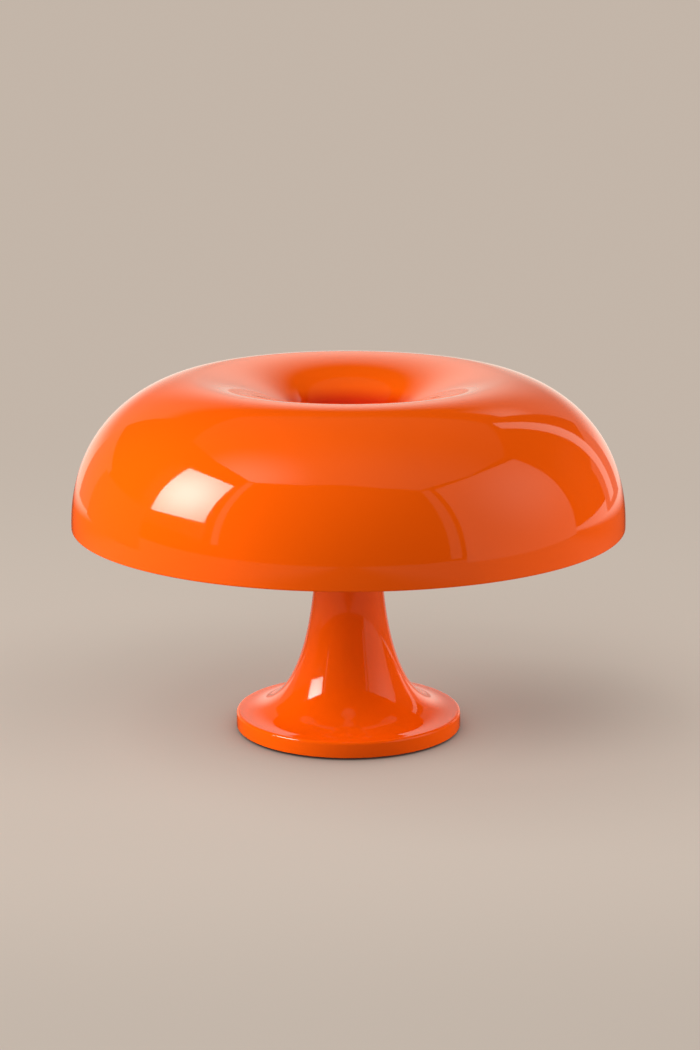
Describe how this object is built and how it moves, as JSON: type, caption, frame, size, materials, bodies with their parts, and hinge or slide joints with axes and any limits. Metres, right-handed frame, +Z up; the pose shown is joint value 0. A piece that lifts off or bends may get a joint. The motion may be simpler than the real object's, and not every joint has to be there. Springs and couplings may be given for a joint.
{
  "type": "table lamp",
  "caption": "Small table lamp with a ring-shaped plastic shade that sinks into a central well, on a trumpet stem with a disc foot; the shade lifts off over radial bulbs.",
  "frame": {"origin": "centre of the foot, on the table", "axes": "+Z up along the stem, +Y towards the back, where the cord enters"},
  "size_m": [0.32, 0.32, 0.2089],
  "materials": {
    "orange_plastic": "high gloss moulded",
    "black_plastic": "fine texture",
    "rubber": "matt",
    "steel": "zinc plated",
    "iron": "sand cast, painted grey",
    "brass": "bright",
    "white_plastic": "satin",
    "cap_metal": "bright, thread rolled",
    "opal_glass": "opal, smooth",
    "black_glass": "gloss",
    "brown_insulation": "satin",
    "blue_insulation": "satin"
  },
  "bodies": {
    "base": {"stem_body": "orange_plastic", "base_cover": "black_plastic", "foot_pad": "rubber", "cover_screws": "steel", "ballast": "iron", "cord_bush": "rubber", "terminal_block": "white_plastic", "terminal_inserts": "brass", "terminal_screws": "steel", "block_screw": "steel", "center_tube": "steel", "tube_washer": "steel", "tube_nut": "steel", "lead_brown": "brown_insulation", "lead_blue": "blue_insulation", "hub_base": "steel", "hub_nut": "steel", "hub_body": "white_plastic", "hub_top_nut": "steel", "shade_seat": "rubber", "holder_1": "white_plastic", "shell_1": "brass", "contact_1": "brass", "holder_2": "white_plastic", "shell_2": "brass", "contact_2": "brass", "holder_3": "white_plastic", "shell_3": "brass", "contact_3": "brass", "holder_4": "white_plastic", "shell_4": "brass", "contact_4": "brass"},
    "shade": {"shade_skirt": "orange_plastic", "shade": "orange_plastic", "shade_well": "orange_plastic", "shade_washer": "steel"},
    "shade_knob": {"shade_knob": "orange_plastic", "knob_insert": "brass"},
    "bulb_1": {"bulb_glass_1": "opal_glass", "bulb_cap_1": "cap_metal", "bulb_insulator_1": "black_glass", "bulb_tip_1": "steel"},
    "bulb_2": {"bulb_glass_2": "opal_glass", "bulb_cap_2": "cap_metal", "bulb_insulator_2": "black_glass", "bulb_tip_2": "steel"},
    "bulb_3": {"bulb_glass_3": "opal_glass", "bulb_cap_3": "cap_metal", "bulb_insulator_3": "black_glass", "bulb_tip_3": "steel"},
    "bulb_4": {"bulb_glass_4": "opal_glass", "bulb_cap_4": "cap_metal", "bulb_insulator_4": "black_glass", "bulb_tip_4": "steel"}
  },
  "joints": [
    {"name": "shade_lift", "type": "slide", "parent": "base", "child": "shade", "axis": [0, 0, 1], "range_m": [0, 0.06]},
    {"name": "knob_turn", "type": "hinge", "parent": "shade", "child": "shade_knob", "pos_m": [0, 0, 0.168], "axis": [0, 0, 1], "continuous": true},
    {"name": "bulb_1_out", "type": "slide", "parent": "base", "child": "bulb_1", "axis": [1, 0, 0], "range_m": [0, 0.024]},
    {"name": "bulb_2_out", "type": "slide", "parent": "base", "child": "bulb_2", "axis": [0, 1, 0], "range_m": [0, 0.024]},
    {"name": "bulb_3_out", "type": "slide", "parent": "base", "child": "bulb_3", "axis": [-1, 0, 0], "range_m": [0, 0.024]},
    {"name": "bulb_4_out", "type": "slide", "parent": "base", "child": "bulb_4", "axis": [0, -1, 0], "range_m": [0, 0.024]}
  ]
}
